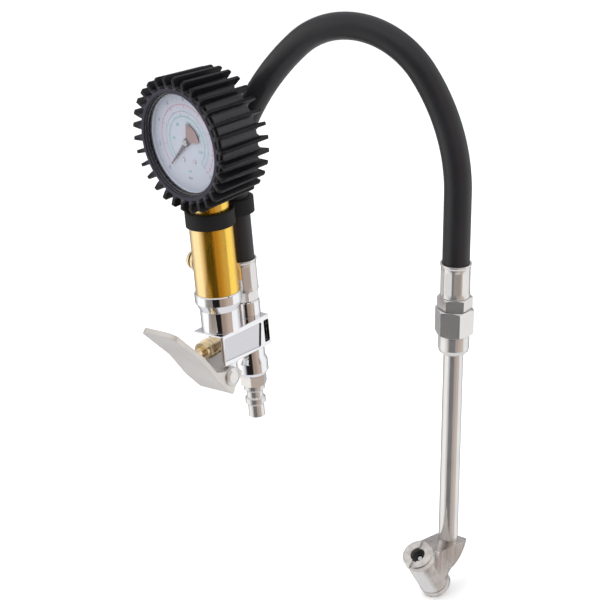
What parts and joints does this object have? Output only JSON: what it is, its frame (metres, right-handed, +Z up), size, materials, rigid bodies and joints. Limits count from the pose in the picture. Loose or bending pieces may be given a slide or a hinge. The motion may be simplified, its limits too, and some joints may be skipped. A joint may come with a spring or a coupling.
{
  "type": "tyre inflator with gauge",
  "caption": "Hand tyre inflator: grip with dial gauge in a finned boot, squeeze-lever valve, bleed button, looped hose and dual-foot chuck on a rigid pipe.",
  "frame": {"origin": "centre of the air-line plug's end face, on the axis shared by the inlet and the hose's root", "axes": "+Z up along the grip; -Y towards the lever and the dial; the hose loops over towards +X"},
  "size_m": [0.1866, 0.1095, 0.334],
  "materials": {
    "gold_anodised": "bright gold anodised",
    "chrome": "polished chrome plate",
    "bright_nickel": "bright nickel plate",
    "satin_nickel": "satin nickel plate",
    "brass": "turned brass",
    "boot_rubber": "matt moulded rubber",
    "hose_rubber": "smooth satin rubber",
    "seal_rubber": "nitrile rubber",
    "clip_plastic": "matt moulded plastic",
    "washer_plastic": "white nylon",
    "black_steel": "black enamel",
    "clear_lens": "clear moulded window",
    "dial_print": "white printed dial",
    "pointer_black": "matt black paint",
    "steel": "bright steel"
  },
  "bodies": {
    "grip_and_gauge": {"valve_body": "chrome", "gallery_plug": "brass", "plunger_guide": "brass", "valve_spring": "steel", "valve_cap": "brass", "lever_pin": "bright_nickel", "handle_tube": "gold_anodised", "tube_oring": "seal_rubber", "bleed_valve_body": "brass", "bleed_spring": "steel", "hose_clip": "clip_plastic", "gauge_boot": "boot_rubber", "gauge_case": "black_steel", "bezel_ring": "black_steel", "gauge_lens": "clear_lens", "lens_gasket": "seal_rubber", "gauge_socket": "brass", "case_screws": "steel", "bourdon_tube": "brass", "bourdon_tip": "brass", "link": "brass", "movement_back_plate": "brass", "movement_screws": "steel", "movement_front_plate": "brass", "movement_pillars": "brass", "dial_posts": "brass", "dial_plate": "dial_print", "dial_screws": "steel", "hairspring": "steel", "hose": "hose_rubber", "hose_fitting_a": "bright_nickel", "ferrule_a": "bright_nickel"},
    "lever": {"lever": "satin_nickel"},
    "plunger": {"plunger": "brass"},
    "poppet": {"poppet": "brass", "poppet_seal": "seal_rubber"},
    "bleed_button": {"bleed_button": "brass", "bleed_seal": "seal_rubber"},
    "pointer": {"pointer": "pointer_black", "pointer_cap": "steel", "pinion_shaft": "brass"},
    "sector_gear": {"sector_gear": "brass"},
    "air_plug": {"inlet_nipple": "bright_nickel", "nipple_oring": "seal_rubber"},
    "wand": {"ferrule_b": "bright_nickel", "hose_fitting_b": "bright_nickel", "union_nut": "bright_nickel", "union_washer": "washer_plastic", "chuck_pipe": "bright_nickel", "pipe_collar": "bright_nickel", "chuck_head": "satin_nickel", "front_cap": "bright_nickel", "back_cap": "bright_nickel", "front_seal": "seal_rubber", "back_seal": "seal_rubber", "front_spring": "steel", "back_spring": "steel"},
    "front_pin": {"front_pin": "steel"},
    "back_pin": {"back_pin": "steel"}
  },
  "joints": [
    {"name": "lever_squeeze", "type": "hinge", "parent": "grip_and_gauge", "child": "lever", "pos_m": [0, -0.0314, 0.0387], "axis": [-1, 0, 0], "range_deg": [0, 9]},
    {"name": "plunger_slide", "type": "slide", "parent": "grip_and_gauge", "child": "plunger", "axis": [0, 1, 0], "range_m": [0, 0.0037]},
    {"name": "poppet_slide", "type": "slide", "parent": "grip_and_gauge", "child": "poppet", "axis": [0, 1, 0], "range_m": [0, 0.0037], "deforming": ["valve_spring"]},
    {"name": "bleed_press", "type": "slide", "parent": "grip_and_gauge", "child": "bleed_button", "axis": [1, 0, 0], "range_m": [0, 0.0015], "deforming": ["bleed_spring"]},
    {"name": "sector_turn", "type": "hinge", "parent": "grip_and_gauge", "child": "sector_gear", "pos_m": [-0.01265, -0.02072, 0.17175], "axis": [-0.1392, -0.9903, 0], "range_deg": [0, 36], "deforming": ["link", "bourdon_tube", "bourdon_tip"]},
    {"name": "pointer_sweep", "type": "hinge", "parent": "grip_and_gauge", "child": "pointer", "pos_m": [0, -0.0225, 0.1764], "axis": [0.1392, 0.9903, 0], "range_deg": [0, 270.1], "deforming": ["hairspring"]},
    {"name": "plug_unscrew", "type": "slide", "parent": "grip_and_gauge", "child": "air_plug", "axis": [0, 0, -1], "range_m": [0, 0.025]},
    {"name": "hose_flex", "type": "hinge", "parent": "grip_and_gauge", "child": "wand", "pos_m": [0.07681, 0.01354, 0.238], "axis": [0.1736, -0.9848, 0], "range_deg": [-12, 25], "deforming": ["hose"]},
    {"name": "front_pin_press", "type": "slide", "parent": "wand", "child": "front_pin", "axis": [-0.1281, 0.572, -0.8102], "range_m": [0, 0.002], "deforming": ["front_spring"]},
    {"name": "back_pin_press", "type": "slide", "parent": "wand", "child": "back_pin", "axis": [0.1281, -0.572, 0.8102], "range_m": [0, 0.002], "deforming": ["back_spring"]}
  ],
  "couplings": [
    {"joint": "plunger_slide", "follows": "lever_squeeze", "m_per_rad": 0.0235},
    {"joint": "poppet_slide", "follows": "lever_squeeze", "m_per_rad": 0.0235},
    {"joint": "pointer_sweep", "follows": "sector_turn", "ratio": 7.5}
  ]
}
